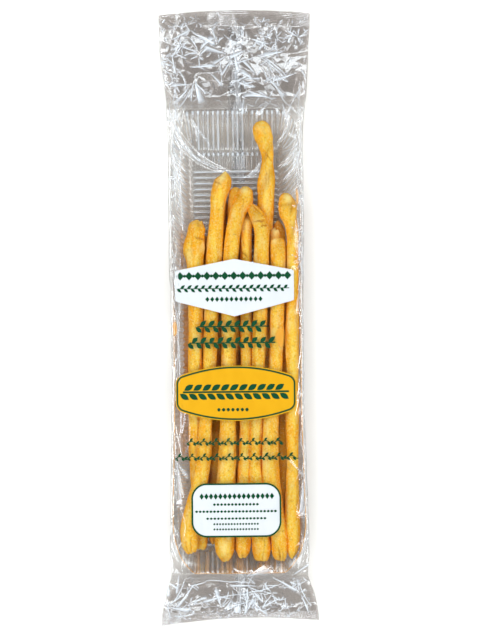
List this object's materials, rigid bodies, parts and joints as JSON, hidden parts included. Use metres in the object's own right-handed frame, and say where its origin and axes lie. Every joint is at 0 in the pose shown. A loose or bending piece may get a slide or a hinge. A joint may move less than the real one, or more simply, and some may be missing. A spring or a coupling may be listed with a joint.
{
  "type": "pack of grissini breadsticks",
  "caption": "Sealed clear film pack of long hand-stretched grissini on a ribbed clear tray, with a flat crimped header and a flared tail. It lies on its back.",
  "frame": {"origin": "middle of the outline's box, on the surface that the pack lies on", "axes": "+Z is the shown side, facing up. +Y points to the wide header seal, along the sticks. +X is to the right as the shown side is read"},
  "size_m": [0.1158, 0.45, 0.0275],
  "materials": {
    "film": "clear, thin and glossy, crumpled at both ends",
    "tray": "clear thermoformed plastic with fine ribs",
    "bread": "baked crust, matt, pale gold to amber, with floury specks",
    "print_white": "opaque white ink on film",
    "print_yellow": "opaque warm yellow ink on film",
    "print_green": "dark green ink on film"
  },
  "bodies": {
    "root": {"bag": "film"}
  },
  "joints": []
}
